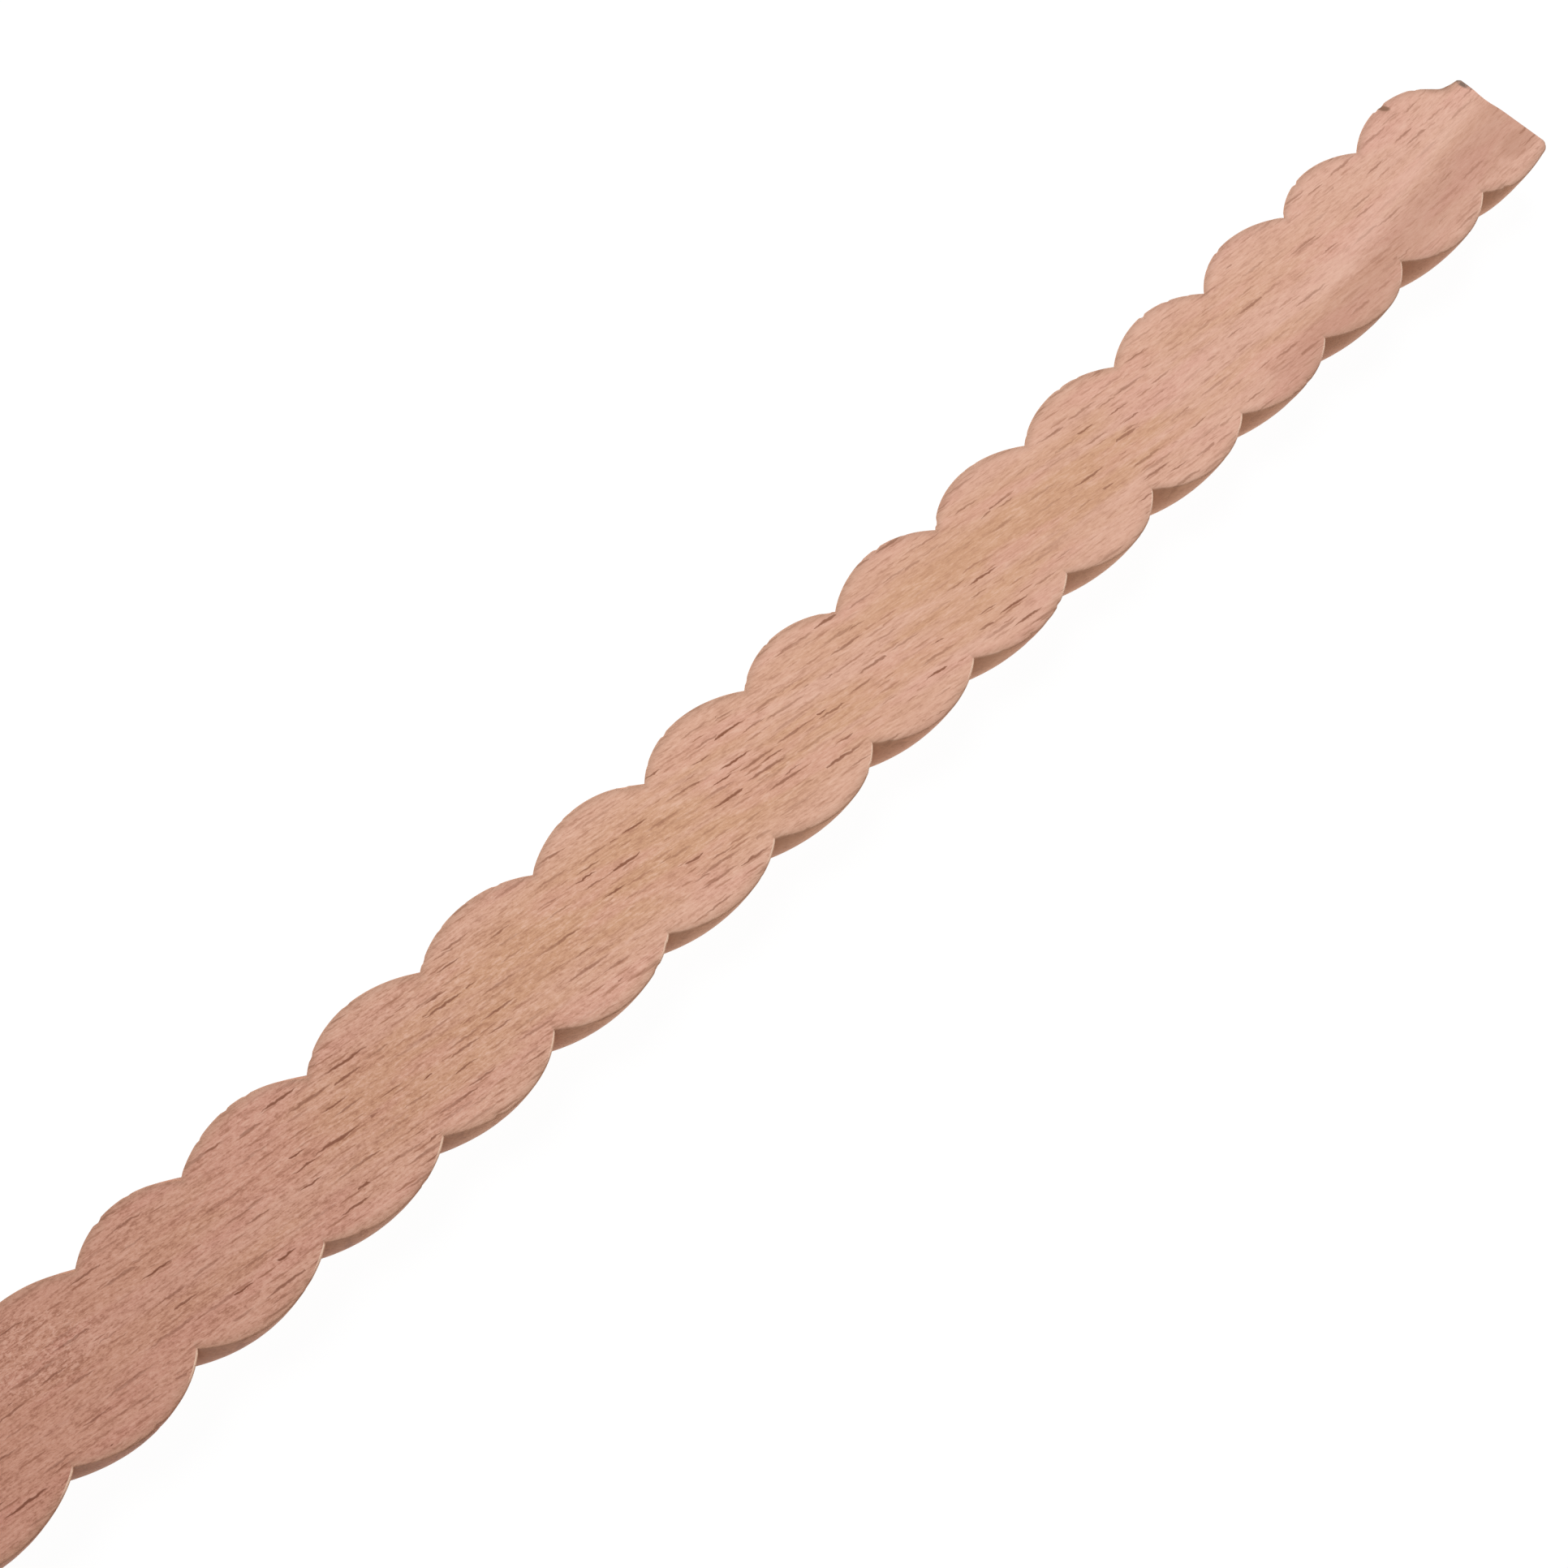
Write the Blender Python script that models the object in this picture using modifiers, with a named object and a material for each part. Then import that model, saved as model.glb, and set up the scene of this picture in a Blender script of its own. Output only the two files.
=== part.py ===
"""Carved wooden twist moulding: a three-strand rope bar, sawn lengthwise and cut square.

The rope bar is turned with a left-hand twist. A saw takes it in half, a little below its
axis, so each half is slightly less than a half round. The thin strip has bowed a little since
then. It lies on its carved crests with the flat, sawn back up. X runs along the moulding, Z is
up, and Z = 0 is the surface that the crests rest on. Lengths are in metres.
"""

import math

import bmesh
import bpy
from mathutils import Matrix

MM = 0.001

# Driving dimensions
PIECE_LENGTH = 180.0 * MM
CREST_RADIUS = 7.5 * MM  # axis of the rope bar to the crest of a strand
GROOVE_DEPTH = 2.0 * MM  # crest to the bottom of the V groove between strands
STRANDS = 3
LEAD = 34.0 * MM  # length of one full turn of a strand
SAW_LOSS = 0.35 * MM  # the saw and sander stop this far short of the axis
CREST_FLAT = 0.15 * MM  # the crests are sanded flat by this much, so the piece lies still
NOTCH_FROM_END = 8.3 * MM  # far end (+X) to the nearest notch on the -Y edge
BOW = 0.43 * MM  # the middle of the strip lies this far to the -Y side of its ends
BOW_SHARE = 0.45  # share of the bow on the -Y side, so that the crests' box is centred on Y = 0

# A break at the far end takes the tip of the last strand on the +Y edge
BREAK_LENGTH = 2.1 * MM
BREAK_SLOPE = math.radians(-9.0)  # the broken side turns in towards the end
BREAK_START_Y = 4.6 * MM  # where the broken side begins, from the centre line
BREAK_DEPTH = 2.2 * MM  # down to the groove below the strand

# The last strand on the -Y edge is worn down towards the end
WORN_SLOPE = math.radians(12.0)  # the worn side turns in towards the end
WORN_Y = 6.2 * MM  # where it meets the end, from the centre line

# Worked out from the driving dimensions
PITCH = LEAD / STRANDS  # one scallop on an edge of the back
AXIS_HEIGHT = CREST_RADIUS - CREST_FLAT
THICKNESS = AXIS_HEIGHT - SAW_LOSS
GROOVE_RADIUS = CREST_RADIUS - GROOVE_DEPTH
FAR_END = PIECE_LENGTH / 2

# Fineness of the solid
POINTS_PER_STRAND = 12
STEPS_PER_TURN = 34
SAW_MARGIN = 4.0 * MM  # extra bar beyond each square cut
CUTTER_MARGIN = 2.0 * MM
SHARP_ANGLE = math.radians(35.0)  # grooves and sawn edges stay crisp, strands look round

BEECH_COLOUR = (0.62, 0.37, 0.26, 1.0)
BEECH_ROUGHNESS = 0.75


def clear_scene():
    for old in list(bpy.data.objects):
        bpy.data.objects.remove(old, do_unlink=True)


def make_collection(name):
    collection = bpy.data.collections.new(name)
    bpy.context.scene.collection.children.link(collection)
    return collection


def make_beech():
    material = bpy.data.materials.new("raw_beech")
    material.use_nodes = True
    shader = material.node_tree.nodes["Principled BSDF"]
    shader.inputs["Base Color"].default_value = BEECH_COLOUR
    shader.inputs["Roughness"].default_value = BEECH_ROUGHNESS
    shader.inputs["Metallic"].default_value = 0.0
    return material


def strand_rise(share):
    """Height of a strand above its groove, where share runs from 0 to 1 across the strand.

    Along the bar each strand is a round arc, one pitch wide and one groove depth high.
    """
    arc_radius = (PITCH**2 / 4 + GROOVE_DEPTH**2) / (2 * GROOVE_DEPTH)
    across = (share - 0.5) * PITCH
    return math.sqrt(arc_radius**2 - across**2) - (arc_radius - GROOVE_DEPTH)


def rope_section():
    """Closed ring of edges across the bar. Angle 0 is the -Y side, and it turns down to -Z."""
    section = bmesh.new()
    ring = []
    for strand in range(STRANDS):
        for point in range(POINTS_PER_STRAND):
            share = point / POINTS_PER_STRAND
            angle = math.tau * (strand + share) / STRANDS
            radius = GROOVE_RADIUS + strand_rise(share)
            ring.append(section.verts.new((0.0, -radius * math.cos(angle), -radius * math.sin(angle))))
    for here, following in zip(ring, ring[1:] + ring[:1]):
        section.edges.new((here, following))
    mesh = bpy.data.meshes.new("rope_section")
    section.to_mesh(mesh)
    section.free()
    return mesh


def groove_turn(x):
    """Angle, from the -Y side, at which a groove of the left-hand twist passes x."""
    notch_x = FAR_END - NOTCH_FROM_END
    notch_angle = math.asin(SAW_LOSS / GROOVE_RADIUS)
    return notch_angle + (notch_x - x) * math.tau / LEAD


def centre_line(x):
    """Where the bowed strip's centre line is, across the straight line between its ends."""
    return BOW * ((x / FAR_END) ** 2 - BOW_SHARE)


def turn_rope_bar(collection):
    """The whole round bar: its section carried along X by a Screw, then closed at both ends."""
    start_x = FAR_END + SAW_MARGIN
    guide = bpy.data.objects.new("rope_guide", rope_section())
    collection.objects.link(guide)
    screw = guide.modifiers.new("twist", "SCREW")
    screw.axis = "X"
    screw.angle = math.tau
    screw.screw_offset = -LEAD
    screw.iterations = math.ceil((PIECE_LENGTH + 2 * SAW_MARGIN) / LEAD)
    screw.steps = STEPS_PER_TURN
    screw.render_steps = STEPS_PER_TURN
    depsgraph = bpy.context.evaluated_depsgraph_get()
    mesh = bpy.data.meshes.new_from_object(guide.evaluated_get(depsgraph))
    bpy.data.objects.remove(guide)

    closed = bmesh.new()
    closed.from_mesh(mesh)
    open_edges = [edge for edge in closed.edges if edge.is_boundary]
    bmesh.ops.holes_fill(closed, edges=open_edges)
    bmesh.ops.recalc_face_normals(closed, faces=closed.faces)
    # The short diagonals run along the bar, so the saw cuts them into straight, even edges.
    bmesh.ops.triangulate(closed, faces=closed.faces, quad_method="SHORT_EDGE")
    turn = Matrix.Rotation(groove_turn(start_x), 3, "X")
    bmesh.ops.rotate(closed, verts=closed.verts, cent=(0.0, 0.0, 0.0), matrix=turn)
    bmesh.ops.translate(closed, verts=closed.verts, vec=(start_x, 0.0, AXIS_HEIGHT))
    for vert in closed.verts:
        vert.co.y += centre_line(vert.co.x)
    closed.to_mesh(mesh)
    closed.free()
    mesh.shade_smooth()
    mesh.set_sharp_from_angle(angle=SHARP_ANGLE)

    bar = bpy.data.objects.new("twist_moulding", mesh)
    collection.objects.link(bar)
    return bar


def make_cutter(name, low, high, collection):
    """A box between two corners, measured from the object's own origin."""
    size = [top - bottom for bottom, top in zip(low, high)]
    centre = [(top + bottom) / 2 for bottom, top in zip(low, high)]
    box = bmesh.new()
    bmesh.ops.create_cube(box, size=1.0)
    bmesh.ops.scale(box, vec=size, verts=box.verts)
    bmesh.ops.translate(box, vec=centre, verts=box.verts)
    mesh = bpy.data.meshes.new(name)
    box.to_mesh(mesh)
    box.free()
    cutter = bpy.data.objects.new(name, mesh)
    cutter.hide_render = True
    cutter.display_type = "WIRE"
    collection.objects.link(cutter)
    return cutter


def add_boolean(target, cutter, operation):
    cut = target.modifiers.new(cutter.name, "BOOLEAN")
    cut.operation = operation
    cut.solver = "EXACT"
    cut.object = cutter


def saw_and_square(bar, cutters):
    """Keeps the half below the saw cut, between the two square ends, with the crests sanded."""
    half_width = CREST_RADIUS + CUTTER_MARGIN
    blank = make_cutter(
        "sawn_blank",
        (-PIECE_LENGTH / 2, -half_width, 0.0),
        (PIECE_LENGTH / 2, half_width, THICKNESS),
        cutters,
    )
    add_boolean(bar, blank, "INTERSECT")


def break_last_tip(bar, cutters):
    """Splits the short tip of the last strand off the far end, on the +Y edge."""
    tip = make_cutter(
        "broken_tip",
        (0.0, 0.0, -BREAK_DEPTH),
        (BREAK_LENGTH + CUTTER_MARGIN, CREST_RADIUS, CUTTER_MARGIN),
        cutters,
    )
    start_x = FAR_END - BREAK_LENGTH
    tip.location = (start_x, centre_line(start_x) + BREAK_START_Y, THICKNESS)
    tip.rotation_euler = (0.0, 0.0, BREAK_SLOPE)
    add_boolean(bar, tip, "DIFFERENCE")


def wear_last_strand(bar, cutters):
    """Takes the crest of the last strand off the -Y edge, down the whole thickness."""
    wear = make_cutter(
        "worn_side",
        (-PITCH, -CREST_RADIUS, -THICKNESS - CUTTER_MARGIN),
        (CUTTER_MARGIN, 0.0, CUTTER_MARGIN),
        cutters,
    )
    wear.location = (FAR_END, centre_line(FAR_END) - WORN_Y, THICKNESS)
    wear.rotation_euler = (0.0, 0.0, WORN_SLOPE)
    add_boolean(bar, wear, "DIFFERENCE")


def main():
    clear_scene()
    parts = make_collection("carved_twist_moulding")
    cutters = make_collection("saw_cuts")
    moulding = turn_rope_bar(parts)
    saw_and_square(moulding, cutters)
    break_last_tip(moulding, cutters)
    wear_last_strand(moulding, cutters)
    moulding.data.materials.append(make_beech())


main()
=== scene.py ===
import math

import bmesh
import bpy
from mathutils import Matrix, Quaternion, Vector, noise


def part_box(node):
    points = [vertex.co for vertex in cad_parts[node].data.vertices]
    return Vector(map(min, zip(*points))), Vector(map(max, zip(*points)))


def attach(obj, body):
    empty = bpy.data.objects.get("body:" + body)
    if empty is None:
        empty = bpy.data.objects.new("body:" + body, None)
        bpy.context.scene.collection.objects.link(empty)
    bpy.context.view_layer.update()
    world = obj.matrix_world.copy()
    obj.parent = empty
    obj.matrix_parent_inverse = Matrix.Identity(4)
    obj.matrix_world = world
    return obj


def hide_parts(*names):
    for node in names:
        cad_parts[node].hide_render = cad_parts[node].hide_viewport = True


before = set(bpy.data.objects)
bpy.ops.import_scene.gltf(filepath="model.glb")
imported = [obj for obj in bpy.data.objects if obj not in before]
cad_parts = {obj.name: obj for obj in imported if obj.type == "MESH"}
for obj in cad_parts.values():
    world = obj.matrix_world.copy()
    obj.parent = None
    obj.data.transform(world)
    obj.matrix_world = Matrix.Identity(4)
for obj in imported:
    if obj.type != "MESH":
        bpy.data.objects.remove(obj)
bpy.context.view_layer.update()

# The looks of a raw beech twist moulding that lies on its carved face, with the sawn back up.
# One fine mesh replaces the faceted solid. It has the same rope form, and adds the unevenness
# of the carving, worn edges, the torn corner and the raw wood's finish, with some painted shade and
# highlight. Lengths are in metres.

MM = 0.001
NODE = "twist_moulding"
LOW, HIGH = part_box(NODE)

# The rope bar, with the same values as the solid
CREST_RADIUS = 7.5 * MM
CREST_FLAT = 0.15 * MM
GROOVE_DEPTH = 2.0 * MM
STRANDS = 3
LEAD = 34.0 * MM
NOTCH_FROM_END = 8.3 * MM
BOW = 0.43 * MM
BOW_SHARE = 0.45
BREAK_LENGTH = 2.1 * MM
BREAK_SLOPE = math.radians(-9.0)
BREAK_START_Y = 4.6 * MM
WORN_SLOPE = math.radians(12.0)

# Worked out from the frame and the rope
FAR_END = HIGH.x
NEAR_END = LOW.x
THICKNESS = HIGH.z
PITCH = LEAD / STRANDS
AXIS_HEIGHT = CREST_RADIUS - CREST_FLAT
SAW_LOSS = AXIS_HEIGHT - THICKNESS
NOTCH_X = FAR_END - NOTCH_FROM_END
NOTCH_ANGLE = math.asin(SAW_LOSS / (CREST_RADIUS - GROOVE_DEPTH))

# Unevenness of the carving
DEEP_GROOVE = 0.32 * MM  # one groove in three is cut deeper by this much
SHALLOW_GROOVES = 0.1 * MM  # and the other two are shallower
SLIP = 0.4 * MM  # grooves on the +Y side drift, and slip back to this every sixth one
SLIP_DRIFT = 0.18 * MM
SLIP_EVERY = 6
SHORT_SCALLOP = -12  # one scallop near the near end is cut short, from this groove on
SHORT_BY = 0.9 * MM
WAVE = 0.2 * MM  # grooves on the -Y side wander slowly
WAVE_START = -6
WAVE_LENGTH = 11.0  # in scallops
UNEVEN = 0.06 * MM
TOOL_RIPPLE = 0.012 * MM
EDGE_BITES = 0.4 * MM
BITES_FROM = 0.2  # noise above this bites into an edge

# Noise on the carving: features a millimetre along it, then features about its axis or downwards
LUMP_NOISE = (0.11, 1.3)
BITE_NOISE = (1.1, 3.0)
WORN_NOISE = (1.3, 1.3)
SPLINTER_NOISE = (0.8, 3.5)
RIPPLE_NOISE = (9.0, 1.5)  # features a scallop, then features about the axis

# Wear and damage
WORN_Y = 6.45 * MM  # half width left at the far end, before the corner is rounded
WORN_LEAN = 0.3  # the worn side leans in by this share of the depth below the back
WORN_SOFTNESS = 1.2 * MM  # rounding where the last -Y scallop meets its worn side
WORN_ROUGHNESS = 0.05 * MM
ARRIS = 0.14 * MM  # rounding along the edges of the back
END_ARRIS = 0.1 * MM
CORNER_ROUNDING = 0.7 * MM
BREAK_SOFTNESS = 0.35 * MM  # rounding where the last +Y scallop falls away to the break
TIP_ROUNDING = 0.3 * MM
END_HOLLOW = 0.15 * MM  # the far end's upper edge is hollow by this much
HOLLOW_Y = 1.2 * MM
HOLLOW_HALF = 1.8 * MM
HOLLOW_DOWN = 2.0 * MM  # and the hollow fades out this far down and along
HOLLOW_ALONG = 0.6 * MM
TORN_ROUGHNESS = 0.12 * MM
TORN_FADE = 0.4 * MM  # wood looks fully torn where this much of it is gone
FALL_UPRIGHT = 0.5 * MM  # the break's sloping start is upright down to here, then leans out
FALL_LEAN = 0.8
NICK_FROM_END = 7.9 * MM
NICK_LENGTH = 1.1 * MM
NICK_DEPTH = 0.14 * MM
NICK_FULL = 0.2 * MM  # the nick is full down to here, and fades out by the next
NICK_DOWN = 0.9 * MM

# Fineness of the mesh
ROWS_PER_SCALLOP = 48
CARVED_COLUMNS = 44
ARRIS_STEPS = 3
BACK_COLUMNS = 14
RIM_SUPPORT = 0.06 * MM
PLANE_SNAP = 0.0001 * MM
FIRST_SCALLOP = -16
LAST_SCALLOP = 3
SHARP_ANGLE = math.radians(38.0)

# Grain of the wood, in millimetres
GRAIN_SLOPE = 0.135  # the grain runs towards -Y by this much a millimetre, up to the straight part
GRAIN_STRAIGHTENS = 15.0  # from here on it straightens
GRAIN_STRAIGHT = 80.0  # and here it runs along the strip
GRAIN_SWAY = 1.4

# Noise in the wood, in features a millimetre along the grain, across it and up
SWAY_NOISE = (0.022, 0.05, 0.05)
BAND_NOISE = (0.03, 0.3, 0.25)
BLOTCH_NOISE = (0.08, 0.35, 0.3)
COARSE_NOISE = (0.3, 1.5, 1.2)
FIBRE_NOISE = (0.9, 6.0, 5.0)
NAP_NOISE = (2.6, 4.6, 3.8)
CURL_NOISE = (1.7, 1.7, 1.7)
CROWD_NOISE = (0.09, 0.35, 0.3)
RAY_RAGGEDNESS = (1.7, 1.7, 1.5)
STREAK_NOISE = (0.3, 2.0, 0.5)
TORN_NOISE = (1.5, 1.5, 1.5)
FIBRE_RELIEF = 0.05 * MM

# Rays, in millimetres: cell that holds one, half length and half width; then seed and share shown
LARGE_RAYS = ((4.4, 1.3, 6.0), 2.1, 0.14, 3.1, 0.8)
MEDIUM_RAYS = ((2.6, 0.8, 4.0), 1.15, 0.105, 17.3, 0.75)

# Wood of the end faces, in millimetres
TREE_HEART = (0.0, -22.0, 36.0)
RINGS_A_MILLIMETRE = 0.45
RING_NOISE = (0.1, 0.4, 0.4)
END_RAY_NOISE = (7.0, 0.4, 1.0)
PORE_NOISE = (1.2, 9.0, 9.0)

# Marks on the back, in millimetres: middle, direction in degrees, half length and half width
ROUGH_PATCH = ((-75.5, 3.2), -30.0, 6.0, 3.2)
DARK_PATCH = ((88.0, -4.0), 0.0, 2.4, 1.3)
NICK_MARK = ((82.1, 7.15), -51.0, 0.65, 0.32)
SMUDGE_MARK = ((89.85, 3.85), -84.0, 1.1, 0.5)

# A point of the painted highlight, a pale streak at the far end, and how far it runs towards +Y a
# millimetre
STREAK_START = (75.0, -0.5)
STREAK_SLOPE = 0.145

# Floor and lights; a light has a place and a size in metres, and a power in watts
FLOOR_HALF = 4.0
FLOOR_GREY = (0.05, 0.05, 0.05, 1.0)
FLOOR_GLOW = 0.97
WORLD_STRENGTH = 0.2
KEY_LIGHT = ((-0.05, 0.45, 1.0), 0.7, 10.4)
SIDE_LIGHT = ((0.9, 0.25, 0.35), 0.4, 3.0)

# Camera, as fitted to the photograph
PHOTO_SIZE = 1932
FOCAL_PIXELS = 2400.0
CAMERA_AZIMUTH = math.radians(-44.361)
CAMERA_ELEVATION = math.radians(67.961)
CAMERA_ROLL = math.radians(0.333)
CAMERA_DISTANCE = 156.228 * MM
CAMERA_AIM = Vector((-5.49 * MM, -2.853 * MM, THICKNESS))
SENSOR = 36.0
CLIP_START = 10.0 * MM


def smoothstep(low, high, value):
    share = min(max((value - low) / (high - low), 0.0), 1.0)
    return share * share * (3.0 - 2.0 * share)


def centre_line(x):
    return BOW * ((x / FAR_END) ** 2 - BOW_SHARE)


def groove_depth(number):
    """Depth of one groove. The same one of the three strands' grooves is deep all along."""
    if number % STRANDS == STRANDS - 1:
        return GROOVE_DEPTH + DEEP_GROOVE
    return GROOVE_DEPTH - SHALLOW_GROOVES


def groove_shift(number, side):
    """How far a groove lies from its even place; side runs from 0 on -Y to 1 on +Y."""
    slip = SLIP - SLIP_DRIFT * (-number % SLIP_EVERY)
    if number <= SHORT_SCALLOP:
        slip += SHORT_BY
    wave = WAVE * (math.cos(math.tau * (number - WAVE_START) / WAVE_LENGTH) - 1.0)
    return wave + (slip - wave) * side


def strand_radius(phase):
    """Radius of the rope at a phase that counts grooves: whole numbers lie in a groove."""
    number = math.floor(phase)
    share = phase - number
    depth = groove_depth(number) * (1.0 - share) + groove_depth(number + 1) * share
    arc_radius = (PITCH**2 / 4 + GROOVE_DEPTH**2) / (2 * GROOVE_DEPTH)
    across = (share - 0.5) * PITCH
    rise = math.sqrt(arc_radius**2 - across**2) - (arc_radius - GROOVE_DEPTH)
    return CREST_RADIUS - depth * (1.0 - rise / GROOVE_DEPTH)


def noise_at(first, second, third, scales):
    """Noise from about -1 to 1 at a place. The scales go with the first two values only."""
    return noise.noise(Vector((first * scales[0], second * scales[1], third)))


def unevenness(x, angle, phase):
    """Slow lumps, a fine ripple along each strand and small bites in the edges. Never negative."""
    around = math.sin(angle) * LUMP_NOISE[1]
    lumps = 0.5 + 0.5 * noise_at(x / MM, math.cos(angle), around, LUMP_NOISE)
    ripple = 0.5 + 0.5 * noise_at(phase, angle, 7.0, RIPPLE_NOISE)
    bites = max(noise_at(x / MM, math.cos(angle), 29.0, BITE_NOISE) - BITES_FROM, 0.0)
    near_back = smoothstep(0.35, 0.05, math.sin(angle))
    return UNEVEN * lumps + TOOL_RIPPLE * ripple + EDGE_BITES * bites * near_back


def soft_least(first, second, softness):
    """The smaller of two lengths, rounded over where they are close."""
    near = max(softness - abs(first - second), 0.0) / softness
    return min(first, second) - near * near * softness / 4


def worn_side(x, reach, height):
    """Distance from the centre line to the surface on the -Y side, with the last strand worn."""
    limit = WORN_Y + math.tan(WORN_SLOPE) * (FAR_END - x) - WORN_LEAN * (THICKNESS - height)
    past = max(x - (FAR_END - CORNER_ROUNDING), 0.0)
    limit -= past**2 / CORNER_ROUNDING
    limit += WORN_ROUGHNESS * noise_at(x / MM, height / MM, 3.0, WORN_NOISE)
    return soft_least(reach, limit, WORN_SOFTNESS)


def broken_side(x, reach, height):
    """Distance from the centre line to the surface on the +Y side, and how torn it is there."""
    from_nick = (x - (FAR_END - NICK_FROM_END)) / (NICK_LENGTH / 2)
    near_top = smoothstep(THICKNESS - NICK_DOWN, THICKNESS - NICK_FULL, height)
    nick = max(0.0, 1.0 - from_nick**2) * near_top
    reach -= NICK_DEPTH * nick
    start = FAR_END - BREAK_LENGTH
    splinter = noise_at(x / MM, height / MM, 11.0, SPLINTER_NOISE)
    split = BREAK_START_Y + math.tan(BREAK_SLOPE) * (x - start) + TORN_ROUGHNESS * splinter
    split -= max(x - (FAR_END - TIP_ROUNDING), 0.0) ** 2 / TIP_ROUNDING
    # Before the break the edge falls away at 45 degrees, and less so further down.
    below = max(THICKNESS - height - FALL_UPRIGHT, 0.0)
    fallen = BREAK_START_Y + (start - x) + below * FALL_LEAN
    limit = -soft_least(-split, -fallen, BREAK_SOFTNESS)
    torn = smoothstep(0.0, TORN_FADE, reach - limit)
    return soft_least(reach, limit, BREAK_SOFTNESS), max(torn, nick)


def carved_point(phase, angle):
    """A point of the rope: its place, how torn it is, and how near the bottom of a groove, where the
    material paints shade.
    """
    side = (1.0 - math.cos(angle)) / 2.0
    number = math.floor(phase)
    share = phase - number
    shift = groove_shift(number, side) * (1.0 - share) + groove_shift(number + 1, side) * share
    x = NOTCH_X + phase * PITCH - (angle - NOTCH_ANGLE) * LEAD / math.tau + shift
    radius = strand_radius(phase) - unevenness(x, angle, phase)
    z = max(AXIS_HEIGHT - radius * math.sin(angle), 0.0)
    reach = abs(radius * math.cos(angle))
    torn = 0.0
    if angle < math.pi / 2:
        y = -worn_side(x, reach, z)
    else:
        y, torn = broken_side(x, reach, z)
    # How near the bottom of a groove, reaching further past it than before it; the material paints shade
    # there
    past = phase - round(phase)
    groove = 1.0 - smoothstep(0.0, 0.3 if past > 0.0 else 0.1, abs(past))
    return Vector((x, y + centre_line(x), z)), torn, groove


class Shell:
    """Points with what the material needs to know of them, and the faces between them."""

    def __init__(self):
        self.points = []
        self.faces = []
        self.values = {"torn": [], "groove": [], "carved": [], "rim": [], "bare": []}

    def add(self, point, torn=0.0, groove=0.0, carved=0.0, rim=0.0, bare=0.0):
        self.points.append(point)
        given = {"torn": torn, "groove": groove, "carved": carved, "rim": rim, "bare": bare}
        for name, value in given.items():
            self.values[name].append(value)
        return len(self.points) - 1

    def join(self, first, second):
        """Faces between two rows of points, seen from outside with the second row on the right
        and each row running upwards."""
        for i in range(len(first) - 1):
            self.faces.append((first[i], second[i], second[i + 1], first[i + 1]))


def rim_angle(phase, angle):
    """Angle at which the rope meets the lower side of the worn arris, near a first guess."""
    radius = strand_radius(phase) - UNEVEN / 2
    rise = math.asin((SAW_LOSS + ARRIS) / radius)
    return rise if angle < math.pi / 2 else math.pi - rise


def add_arris(shell, start, bare):
    """Rounds one edge of the back over, from a point of the rope in to the flat back."""
    point = shell.points[start]
    torn = shell.values["torn"][start]
    inward = -math.copysign(1.0, point.y)
    row = [start]
    for step in range(1, ARRIS_STEPS + 1):
        turn = math.pi / 2 * step / ARRIS_STEPS
        y = point.y + inward * ARRIS * (1.0 - math.cos(turn))
        z = THICKNESS - ARRIS * (1.0 - math.sin(turn))
        place = Vector((point.x, y, z))
        carved = 1.0 - step / ARRIS_STEPS
        row.append(shell.add(place, torn, carved=carved, rim=1.0 - bare, bare=bare))
    y = point.y + inward * (ARRIS + RIM_SUPPORT)
    row.append(shell.add(Vector((point.x, y, THICKNESS)), torn * 0.5, rim=1.0 - bare))
    return row


def rope_shell():
    """The carved side, both rounded edges and the flat back, longer than the piece at both ends."""
    shell = Shell()
    rows = (LAST_SCALLOP - FIRST_SCALLOP) * ROWS_PER_SCALLOP
    carved, minus_rim, plus_rim = [], [], []
    for row in range(rows + 1):
        phase = FIRST_SCALLOP + row / ROWS_PER_SCALLOP
        first = rim_angle(phase, 0.0)
        last = rim_angle(phase, math.pi)
        line = []
        for column in range(CARVED_COLUMNS + 1):
            angle = first + (last - first) * column / CARVED_COLUMNS
            point, torn, groove = carved_point(phase, angle)
            if column in (0, CARVED_COLUMNS):
                point.z = THICKNESS - ARRIS
            line.append(shell.add(point, torn, groove, carved=1.0))
        carved.append(line)
        # The edge is grubby, but paler where each -Y scallop turns in to the next notch, as splintered
        # wood with a painted highlight.
        minus_rim.append(add_arris(shell, line[0], smoothstep(0.75, 0.95, phase % 1.0)))
        plus_rim.append(add_arris(shell, line[-1], 0.0))
    for row in range(rows):
        shell.join(carved[row + 1], carved[row])
        shell.join(minus_rim[row], minus_rim[row + 1])
        shell.join(plus_rim[row + 1], plus_rim[row])

    # A row comes up on the +Y edge about half a turn nearer the near end than on the -Y edge.
    half_turn = (math.pi - 2 * NOTCH_ANGLE) / math.tau * LEAD
    rows_across = round(half_turn / PITCH * ROWS_PER_SCALLOP)
    back = []
    for row in range(rows_across, rows + 1):
        start = plus_rim[row][-1]
        end = minus_rim[row - rows_across][-1]
        line = [start]
        for column in range(1, BACK_COLUMNS):
            share = column / BACK_COLUMNS
            point = shell.points[start].lerp(shell.points[end], share)
            line.append(shell.add(point))
        line.append(end)
        back.append(line)
    for here, following in zip(back, back[1:]):
        shell.join(following, here)
    return shell


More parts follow.
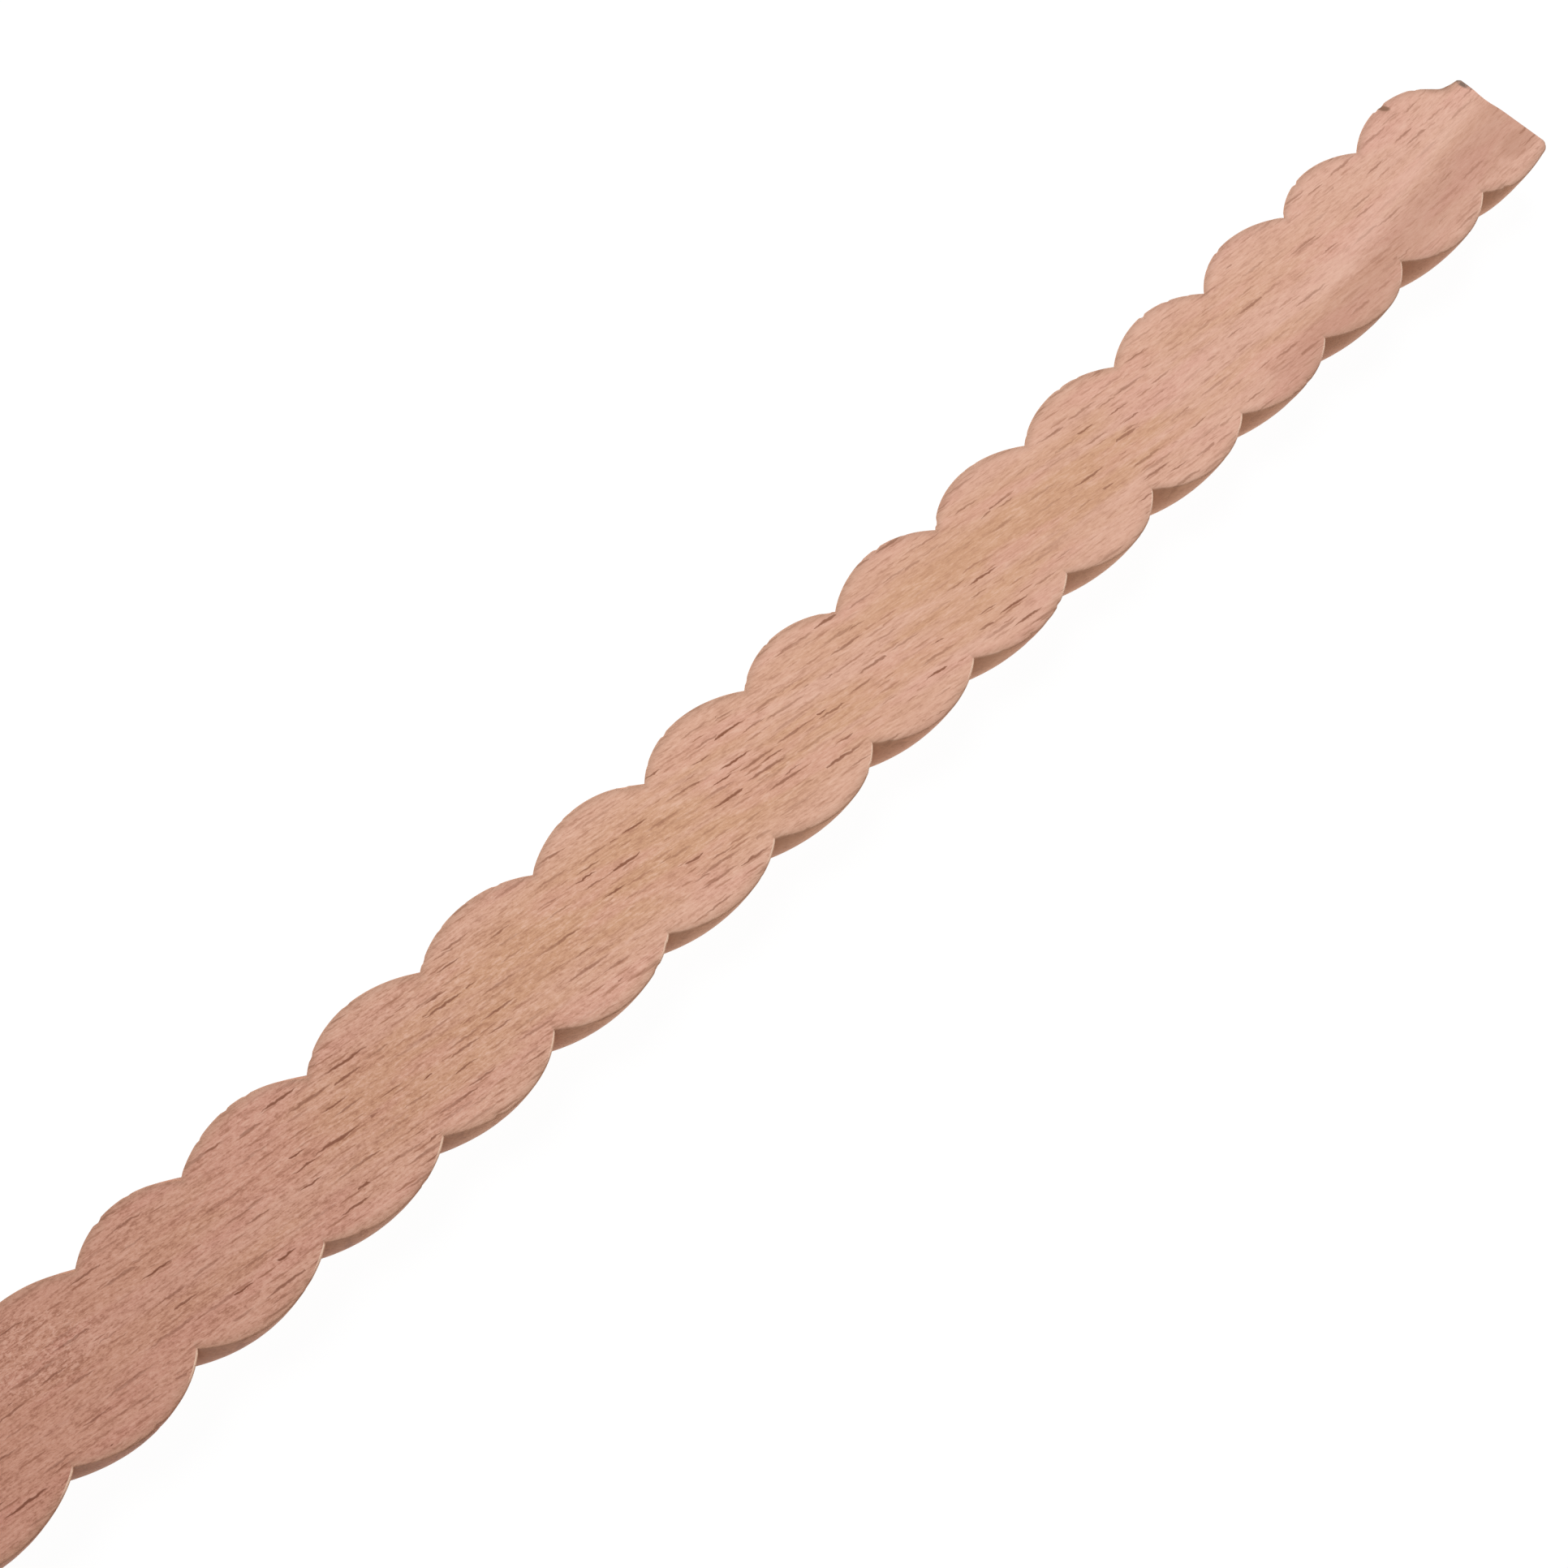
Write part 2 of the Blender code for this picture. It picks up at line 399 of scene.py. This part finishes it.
def square_end(mesh, end_x, outward):
    """Cuts one end square, rounds its edge slightly and closes it."""
    for plane_x, clear in ((end_x - outward * END_ARRIS, False), (end_x, True)):
        bmesh.ops.bisect_plane(
            mesh,
            geom=mesh.verts[:] + mesh.edges[:] + mesh.faces[:],
            dist=PLANE_SNAP,
            plane_co=(plane_x, 0.0, 0.0),
            plane_no=(outward, 0.0, 0.0),
            clear_outer=clear,
        )
    mesh.normal_update()
    for vert in mesh.verts:
        past = (vert.co.x - end_x) * outward + END_ARRIS
        if past > 0.0:
            share = min(past / END_ARRIS, 1.0)
            out = Vector((0.0, vert.normal.y, vert.normal.z))
            vert.co -= out * END_ARRIS * (1.0 - math.sqrt(1.0 - share * share))
    ring = {vert for vert in mesh.verts if abs(vert.co.x - end_x) < 10.0 * PLANE_SNAP}
    edges = [edge for edge in mesh.edges if edge.is_boundary and ring.issuperset(edge.verts)]
    cap = bmesh.ops.holes_fill(mesh, edges=edges)["faces"]
    bmesh.ops.triangulate(mesh, faces=cap, ngon_method="BEAUTY")


def hollow_far_edge(mesh):
    """Makes the upper edge of the far end slightly hollow."""
    for vert in mesh.verts:
        across = min(abs(vert.co.y - HOLLOW_Y) / HOLLOW_HALF, 1.0)
        share = (1.0 - across**2) ** 2
        share *= smoothstep(THICKNESS - HOLLOW_DOWN, THICKNESS, vert.co.z)
        share *= smoothstep(FAR_END - HOLLOW_ALONG, FAR_END, vert.co.x)
        vert.co.x -= END_HOLLOW * share


def make_moulding():
    shell = rope_shell()
    raw = bpy.data.meshes.new("beech_twist_moulding")
    raw.from_pydata(shell.points, [], shell.faces)
    for name, values in shell.values.items():
        raw.attributes.new(name, "FLOAT", "POINT").data.foreach_set("value", values)

    mesh = bmesh.new()
    mesh.from_mesh(raw)
    square_end(mesh, FAR_END, 1.0)
    square_end(mesh, NEAR_END, -1.0)
    hollow_far_edge(mesh)
    loose = [vert for vert in mesh.verts if not vert.link_faces]
    bmesh.ops.delete(mesh, geom=loose, context="VERTS")
    bmesh.ops.recalc_face_normals(mesh, faces=mesh.faces)
    mesh.to_mesh(raw)
    mesh.free()
    raw.shade_smooth()
    raw.set_sharp_from_angle(angle=SHARP_ANGLE)

    moulding = bpy.data.objects.new("beech_twist_moulding", raw)
    bpy.context.scene.collection.objects.link(moulding)
    return moulding


def srgb(red, green, blue):
    """A colour as linear values, from its usual 0 to 255 values."""
    channels = []
    for value in (red, green, blue):
        value /= 255.0
        channels.append(value / 12.92 if value <= 0.04045 else ((value + 0.055) / 1.055) ** 2.4)
    return (*channels, 1.0)


# Colours of the wood, and of the shade and highlight painted on it
PINK_BEECH = srgb(217, 169, 146)
TAN_BEECH = srgb(207, 158, 125)
ROSE_BEECH = srgb(215, 160, 141)
FLECK = srgb(136, 82, 56)
# Also the painted shade beside the far streak
FAINT_FLECK_AND_SHADE = srgb(167, 114, 88)
# Also the painted highlight of the far streak
PALE_FIBRE_AND_HIGHLIGHT = srgb(233, 192, 170)
TORN_BEECH = srgb(128, 88, 62)
SMUDGE = srgb(96, 82, 72)
# Painted shade in and just past the bottom of each groove
GROOVE_SHADE = srgb(170, 118, 88)
RIM_BEECH = srgb(160, 124, 100)
# Pale edge at the -Y notches: splintered wood with a painted highlight
BARE_AND_HIGHLIT_BEECH = srgb(240, 208, 186)
END_GRAIN = srgb(176, 126, 100)
# The carving's browner colour: partly its own machined surface, partly painted warm shade
CARVED_TINT_AND_SHADE = (1.02, 0.86, 0.68, 1.0)
# Ends: the wood's own tone, with painted shade at the near end and painted light at the far end
NEAR_TINT_AND_SHADE = (0.73, 0.61, 0.59, 1.0)
NO_TINT = (1.0, 1.0, 1.0, 1.0)
FAR_TINT_AND_LIGHT = (1.01, 1.01, 1.04, 1.0)


class Graph:
    """Short calls that add nodes to one material. A value may be a number, a tuple or a socket."""

    def __init__(self, name):
        self.material = bpy.data.materials.new(name)
        self.material.use_nodes = True
        self.tree = self.material.node_tree
        self.shader = self.tree.nodes["Principled BSDF"]

    def feed(self, socket, value):
        if isinstance(value, bpy.types.NodeSocket):
            self.tree.links.new(value, socket)
        else:
            socket.default_value = value

    def node(self, kind, inputs=(), **settings):
        made = self.tree.nodes.new(kind)
        for name, value in settings.items():
            setattr(made, name, value)
        for socket, value in inputs:
            self.feed(made.inputs[socket], value)
        return made

    def maths(self, operation, *values):
        made = self.node("ShaderNodeMath", enumerate(values), operation=operation)
        return made.outputs[0]

    def times(self, first, *others):
        """The product of several values."""
        product = first
        for other in others:
            product = self.maths("MULTIPLY", product, other)
        return product

    def about_zero(self, value):
        """Noise that lies about zero instead of about a half."""
        return self.maths("SUBTRACT", value, 0.5)

    def vector(self, operation, *values):
        made = self.node("ShaderNodeVectorMath", enumerate(values), operation=operation)
        return made.outputs["Value" if operation == "LENGTH" else "Vector"]

    def split(self, vector):
        return self.node("ShaderNodeSeparateXYZ", [("Vector", vector)]).outputs

    def join(self, x=0.0, y=0.0, z=0.0):
        return self.node("ShaderNodeCombineXYZ", ((0, x), (1, y), (2, z))).outputs[0]

    def noise(self, place, scale, detail=2.0, roughness=0.5):
        """Soft noise, with a scale along and across the grain, in features a millimetre."""
        stretched = self.vector("MULTIPLY", place, scale)
        inputs = (("Vector", stretched), ("Scale", 1.0))
        inputs += (("Detail", detail), ("Roughness", roughness))
        return self.node("ShaderNodeTexNoise", inputs).outputs["Fac"]

    def spread(self, value, low, high, out_low=0.0, out_high=1.0):
        inputs = (("Value", value), ("From Min", low), ("From Max", high))
        inputs += (("To Min", out_low), ("To Max", out_high))
        made = self.node("ShaderNodeMapRange", inputs, interpolation_type="SMOOTHSTEP")
        return made.outputs["Result"]

    def blend(self, factor, first, second, kind="MIX"):
        made = self.node("ShaderNodeMix", data_type="RGBA", blend_type=kind, clamp_result=False)
        self.feed(made.inputs["Factor"], factor)
        self.feed(made.inputs[6], first)
        self.feed(made.inputs[7], second)
        return made.outputs[2]

    def attribute(self, name):
        return self.node("ShaderNodeAttribute", attribute_name=name).outputs["Fac"]


def ray_flecks(graph, grain, cell, half_length, half_width, seed, share_shown):
    """Lens-shaped ends of the rays, one in each cell at most, in millimetres along the grain.

    A ray is a thin upright sheet, so it is a dash on the back, a flake on the sides and a line
    on the ends. Rays differ in size and darkness, and their edges are ragged.
    """
    scaled = graph.vector("DIVIDE", grain, cell)
    scaled = graph.vector("ADD", scaled, (seed, seed * 0.7, seed * 0.3))
    inputs = (("Vector", scaled), ("Scale", 1.0), ("Randomness", 1.0))
    cells = graph.node("ShaderNodeTexVoronoi", inputs, feature="F1")
    offset = graph.vector("SUBTRACT", scaled, cells.outputs["Position"])
    along, across, _ = graph.split(graph.vector("MULTIPLY", offset, cell))
    lucky = graph.node("ShaderNodeSeparateColor", [("Color", cells.outputs["Color"])]).outputs
    size = graph.spread(lucky[0], 0.0, 1.0, 0.5, 1.0)
    along = graph.maths("DIVIDE", along, graph.times(size, half_length))
    ragged = graph.about_zero(graph.noise(grain, RAY_RAGGEDNESS))
    across = graph.maths("MULTIPLY_ADD", ragged, half_width * 2.5, across)
    across = graph.maths("DIVIDE", across, graph.times(size, half_width))
    lens = graph.maths("ADD", graph.times(along, along), graph.maths("ABSOLUTE", across))
    shape = graph.spread(lens, 1.3, 0.5)
    shown = graph.spread(lucky[1], 1.0 - share_shown, 1.2 - share_shown)
    darkness = graph.spread(lucky[2], 0.0, 1.0, 0.45, 1.0)
    return graph.times(shape, shown, darkness)


def grain_place(graph, place):
    """Millimetres along the grain, across it and up, with the grain wandering a little."""
    x, y, z = graph.split(place)
    across = graph.maths("MULTIPLY_ADD", x, GRAIN_SLOPE, y)
    past = graph.maths("MAXIMUM", graph.maths("SUBTRACT", x, GRAIN_STRAIGHTENS), 0.0)
    bend = -GRAIN_SLOPE / 2 / (GRAIN_STRAIGHT - GRAIN_STRAIGHTENS)
    across = graph.maths("MULTIPLY_ADD", graph.times(past, past), bend, across)
    slow = graph.noise(place, SWAY_NOISE, detail=1.0)
    across = graph.maths("ADD", across, graph.times(graph.about_zero(slow), GRAIN_SWAY))
    return graph.join(x, across, z)


def oval(graph, x, y, middle, along, half_length, half_width):
    """A soft oval mark on the back, in millimetres; along is the direction of its length."""
    away_x = graph.maths("SUBTRACT", x, middle[0])
    away_y = graph.maths("SUBTRACT", y, middle[1])
    turn = math.radians(along)
    cosine, sine = math.cos(turn), math.sin(turn)
    long = graph.maths("MULTIPLY_ADD", away_x, cosine, graph.times(away_y, sine))
    short = graph.maths("MULTIPLY_ADD", away_x, -sine, graph.times(away_y, cosine))
    long = graph.maths("DIVIDE", long, half_length)
    short = graph.maths("DIVIDE", short, half_width)
    square = graph.maths("MULTIPLY_ADD", long, long, graph.times(short, short))
    return graph.spread(square, 1.3, 0.3)


def plain_wood(graph, grain, x, y):
    """Pink wood with tan bands along its middle, and rosy blotches."""
    bands = graph.noise(grain, BAND_NOISE, detail=3.0, roughness=0.6)
    middle = graph.spread(graph.maths("ABSOLUTE", y), 6.5, 2.0, 0.15, 1.0)
    to_far_end = graph.spread(x, 75.0, 35.0, 0.3, 1.0)
    to_near_end = graph.spread(x, -80.0, -30.0, 0.25, 1.0)
    tan_share = graph.times(graph.spread(bands, 0.36, 0.54), middle, to_far_end, to_near_end)
    colour = graph.blend(tan_share, PINK_BEECH, TAN_BEECH)
    blotches = graph.noise(grain, BLOTCH_NOISE)
    return graph.blend(graph.times(graph.spread(blotches, 0.48, 0.65), 0.55), colour, ROSE_BEECH)


def add_fibres(graph, colour, place, grain, x, rough_patch):
    """Adds fibres and nap, both rougher at the near end and calmer at the far end.

    Gives the colour, the fine fibres and the nap, for the gloss and the relief.
    """
    fine = graph.noise(grain, FIBRE_NOISE, detail=3.0, roughness=0.65)
    nap = graph.noise(grain, NAP_NOISE, detail=3.0, roughness=0.75)
    coarse = graph.noise(grain, COARSE_NOISE)
    nap_share = graph.maths("MULTIPLY_ADD", rough_patch, 0.6, graph.spread(x, -70.0, 20.0, 1.2, 0.5))
    nap_tone = graph.times(graph.about_zero(nap), nap_share)
    fine_tone = graph.times(graph.about_zero(fine), 1.1)
    coarse_tone = graph.times(graph.about_zero(coarse), 0.5)
    tone = graph.maths("ADD", graph.maths("ADD", fine_tone, coarse_tone), nap_tone)
    strength = graph.spread(x, -60.0, 30.0, 0.75, 0.52)
    colour = graph.blend(graph.times(graph.spread(tone, 0.05, -0.35), strength), colour, FAINT_FLECK_AND_SHADE)
    colour = graph.blend(graph.times(graph.spread(tone, -0.05, 0.35), strength), colour, PALE_FIBRE_AND_HIGHLIGHT)

    # Curls of raised fibre on the rough patch
    curl = graph.maths("ABSOLUTE", graph.about_zero(graph.noise(place, CURL_NOISE, detail=1.0)))
    curl = graph.times(graph.spread(curl, 0.07, 0.02), graph.spread(nap, 0.45, 0.58), rough_patch)
    return graph.blend(graph.times(curl, 0.8), colour, PALE_FIBRE_AND_HIGHLIGHT), fine, nap_tone


def add_rays(graph, colour, grain, x):
    """Adds rays in crowds, fewer at the far end and on the carving. Gives both sizes of them."""
    crowd = graph.spread(graph.noise(grain, CROWD_NOISE, detail=1.0), 0.38, 0.58, 0.5, 1.0)
    to_far_end = graph.spread(x, 0.0, 70.0, 1.0, 0.6)
    on_carving = graph.spread(graph.attribute("carved"), 0.0, 1.0, 1.0, 0.4)
    crowd = graph.times(crowd, to_far_end, on_carving)
    large = graph.times(ray_flecks(graph, grain, *LARGE_RAYS), crowd)
    medium = graph.times(ray_flecks(graph, grain, *MEDIUM_RAYS), crowd)
    colour = graph.blend(graph.times(medium, 0.85), colour, FAINT_FLECK_AND_SHADE)
    return graph.blend(large, colour, FLECK), large, medium


def add_far_streak(graph, colour, place, x, y, on_back):
    """Adds the pale streak that crosses the grain at the far end as a painted highlight, and painted
    shade beside it.
    """
    along = graph.maths("SUBTRACT", x, STREAK_START[0])
    line = graph.maths("MULTIPLY_ADD", along, -STREAK_SLOPE, graph.maths("SUBTRACT", y, STREAK_START[1]))
    ragged = graph.about_zero(graph.noise(place, STREAK_NOISE, detail=3.0, roughness=0.65))
    line = graph.maths("ADD", line, graph.times(ragged, 3.0))
    fade = graph.times(graph.spread(x, 56.0, 68.0), graph.spread(x, 92.0, 84.0))
    # Painted highlight along the streak
    streak_highlight = graph.times(graph.spread(line, -1.0, 0.4), graph.spread(line, 2.0, 0.4), fade)
    colour = graph.blend(graph.times(streak_highlight, 0.3), colour, PALE_FIBRE_AND_HIGHLIGHT)
    # Painted shade beside the streak
    streak_shade = graph.times(graph.spread(line, 0.7, -2.0), graph.spread(line, -8.0, -3.0))
    streak_shade = graph.times(streak_shade, graph.spread(x, 46.0, 58.0))
    colour = graph.blend(graph.times(streak_shade, 0.36), colour, FAINT_FLECK_AND_SHADE)
    patch = graph.times(oval(graph, x, y, *DARK_PATCH), on_back)
    return graph.blend(graph.times(patch, 0.35), colour, FAINT_FLECK_AND_SHADE)


def add_end_tint_and_shade(graph, colour, x):
    """Makes the wood deeper in colour at the near end and slightly paler at the far end: partly the
    wood's own tone, partly painted shade and light falling off along the strip.
    """
    tint = graph.blend(graph.spread(x, NEAR_END / MM, -8.0), NEAR_TINT_AND_SHADE, NO_TINT)
    tint = graph.blend(graph.spread(x, 0.0, FAR_END / MM), tint, FAR_TINT_AND_LIGHT)
    return graph.blend(1.0, colour, tint, "MULTIPLY")


def end_grain(graph, place):
    """Growth rings about a heart that lies far off, fine pores, and rays that point to it."""
    _, across, up = graph.split(graph.vector("SUBTRACT", place, TREE_HEART))
    distance = graph.vector("LENGTH", graph.join(y=across, z=up))
    waver = graph.times(graph.noise(place, RING_NOISE), 1.5)
    ring = graph.times(graph.maths("ADD", distance, waver), RINGS_A_MILLIMETRE)
    ring = graph.maths("FRACT", ring)
    late = graph.times(graph.spread(ring, 0.55, 0.95), graph.spread(ring, 1.0, 0.97))
    bearing = graph.times(graph.maths("ARCTAN2", across, up), 60.0)
    polar = graph.join(bearing, distance)
    ray = graph.spread(graph.noise(polar, END_RAY_NOISE, detail=1.0), 0.58, 0.7)
    pores = graph.noise(place, PORE_NOISE, detail=3.0, roughness=0.7)
    colour = graph.blend(graph.spread(pores, 0.36, 0.6), FLECK, END_GRAIN)
    colour = graph.blend(graph.times(late, 0.3), colour, FLECK)
    return graph.blend(graph.times(ray, 0.3), colour, PINK_BEECH)


def add_edges(graph, colour, place, x):
    """Adds grubby edges of the back, paler edges with painted highlight at the -Y notches, the carving's
    browner colour that is partly painted shade, painted shade in the grooves, and the end grain.
    """
    rim = graph.attribute("rim")
    colour = graph.blend(graph.times(rim, rim, 0.42), colour, RIM_BEECH)
    # Painted highlight together with splintered wood, where each -Y scallop turns in to its notch
    colour = graph.blend(graph.times(graph.attribute("bare"), 0.8), colour, BARE_AND_HIGHLIT_BEECH)
    # Carving browner: partly its own machined colour, partly painted warm shade on its walls
    carved = graph.blend(1.0, colour, CARVED_TINT_AND_SHADE, "MULTIPLY")
    colour = graph.blend(graph.attribute("carved"), colour, carved)
    # Painted shade: darker brown in and just past the bottom of each groove
    colour = graph.blend(graph.times(graph.attribute("groove"), 0.6), colour, GROOVE_SHADE)
    end = FAR_END / MM
    ends = graph.spread(graph.maths("ABSOLUTE", x), end - 0.1, end - 0.02)
    return graph.blend(graph.times(ends, 0.85), colour, end_grain(graph, place))


def add_damage(graph, colour, place, x, y, on_back):
    """Adds torn wood, the dark nick and the grey smudge on the broken corner."""
    ragged = graph.noise(place, TORN_NOISE, detail=3.0)
    torn = graph.times(graph.attribute("torn"), graph.spread(ragged, 0.25, 0.6))
    colour = graph.blend(graph.times(torn, 0.75), colour, TORN_BEECH)
    nick = graph.times(oval(graph, x, y, *NICK_MARK), on_back)
    colour = graph.blend(graph.times(nick, 0.8), colour, TORN_BEECH)
    smudge = graph.times(oval(graph, x, y, *SMUDGE_MARK), on_back)
    smudge = graph.times(smudge, graph.spread(ragged, 0.3, 0.55, 0.4, 1.0))
    return graph.blend(graph.times(smudge, 0.85), colour, SMUDGE)


def raw_beech():
    """Raw beech, worked out from the place on the moulding and from the values on its mesh."""
    graph = Graph("raw_beech")
    coordinates = graph.node("ShaderNodeTexCoord").outputs["Object"]
    place = graph.vector("SCALE", coordinates)
    place.node.inputs["Scale"].default_value = 1.0 / MM
    grain = grain_place(graph, place)
    x, y, z = graph.split(place)
    back = THICKNESS / MM
    on_back = graph.spread(z, back - 0.9, back - 0.3)
    rough_patch = oval(graph, x, y, *ROUGH_PATCH)

    colour = plain_wood(graph, grain, x, y)
    colour, fine, nap_tone = add_fibres(graph, colour, place, grain, x, rough_patch)
    colour, large, medium = add_rays(graph, colour, grain, x)
    colour = add_far_streak(graph, colour, place, x, y, on_back)
    colour = add_end_tint_and_shade(graph, colour, x)
    colour = add_edges(graph, colour, place, x)
    colour = add_damage(graph, colour, place, x, y, on_back)
    graph.feed(graph.shader.inputs["Base Color"], colour)

    graph.feed(graph.shader.inputs["Roughness"], graph.spread(fine, 0.3, 0.7, 0.68, 0.84))
    graph.shader.inputs["Specular IOR Level"].default_value = 0.3
    graph.shader.inputs["Sheen Weight"].default_value = 0.15
    graph.shader.inputs["Sheen Roughness"].default_value = 0.5

    height = graph.maths("ADD", graph.times(fine, 0.5), nap_tone)
    height = graph.maths("SUBTRACT", height, graph.times(large, 0.5))
    height = graph.maths("SUBTRACT", height, graph.times(medium, 0.3))
    bump_inputs = (("Strength", 0.6), ("Distance", FIBRE_RELIEF), ("Height", height))
    bump = graph.node("ShaderNodeBump", bump_inputs)
    graph.feed(graph.shader.inputs["Normal"], bump.outputs["Normal"])
    return graph.material


def make_floor():
    """A plain white floor, slightly bright of itself so that the picture's ground is white."""
    graph = Graph("white_floor")
    graph.shader.inputs["Base Color"].default_value = FLOOR_GREY
    graph.shader.inputs["Roughness"].default_value = 0.9
    graph.shader.inputs["Specular IOR Level"].default_value = 0.0
    graph.shader.inputs["Emission Color"].default_value = (1.0, 1.0, 1.0, 1.0)
    graph.shader.inputs["Emission Strength"].default_value = FLOOR_GLOW
    mesh = bpy.data.meshes.new("floor")
    half = FLOOR_HALF
    corners = [(-half, -half, 0.0), (half, -half, 0.0), (half, half, 0.0), (-half, half, 0.0)]
    mesh.from_pydata(corners, [], [(0, 1, 2, 3)])
    mesh.materials.append(graph.material)
    floor = bpy.data.objects.new("floor", mesh)
    bpy.context.scene.collection.objects.link(floor)


def make_light(name, place, size, power):
    """A square soft light that faces the moulding."""
    lamp = bpy.data.lights.new(name, "AREA")
    lamp.size = size
    lamp.energy = power
    light = bpy.data.objects.new(name, lamp)
    light.location = place
    light.rotation_euler = Vector(place).to_track_quat("Z", "Y").to_euler()
    bpy.context.scene.collection.objects.link(light)


def light_scene():
    world = bpy.data.worlds.new("studio")
    world.use_nodes = True
    background = world.node_tree.nodes["Background"]
    background.inputs["Color"].default_value = (1.0, 1.0, 1.0, 1.0)
    background.inputs["Strength"].default_value = WORLD_STRENGTH
    bpy.context.scene.world = world
    make_light("key", *KEY_LIGHT)
    make_light("side", *SIDE_LIGHT)
    bpy.context.scene.view_settings.view_transform = "Standard"


def place_camera():
    turn, lift = CAMERA_AZIMUTH, CAMERA_ELEVATION
    back = Vector((math.sin(turn) * math.cos(lift), -math.cos(turn) * math.cos(lift), math.sin(lift)))
    data = bpy.data.cameras.new("camera")
    data.sensor_width = SENSOR
    data.lens = SENSOR * FOCAL_PIXELS / PHOTO_SIZE
    data.clip_start = CLIP_START
    camera = bpy.data.objects.new("camera", data)
    camera.location = CAMERA_AIM + back * CAMERA_DISTANCE
    upright = back.to_track_quat("Z", "Y")
    camera.rotation_euler = (upright @ Quaternion((0.0, 0.0, 1.0), CAMERA_ROLL)).to_euler()
    bpy.context.scene.collection.objects.link(camera)
    bpy.context.scene.camera = camera


def main():
    moulding = make_moulding()
    moulding.data.materials.append(raw_beech())
    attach(moulding, "root")
    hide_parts(NODE)
    make_floor()
    light_scene()
    place_camera()


main()
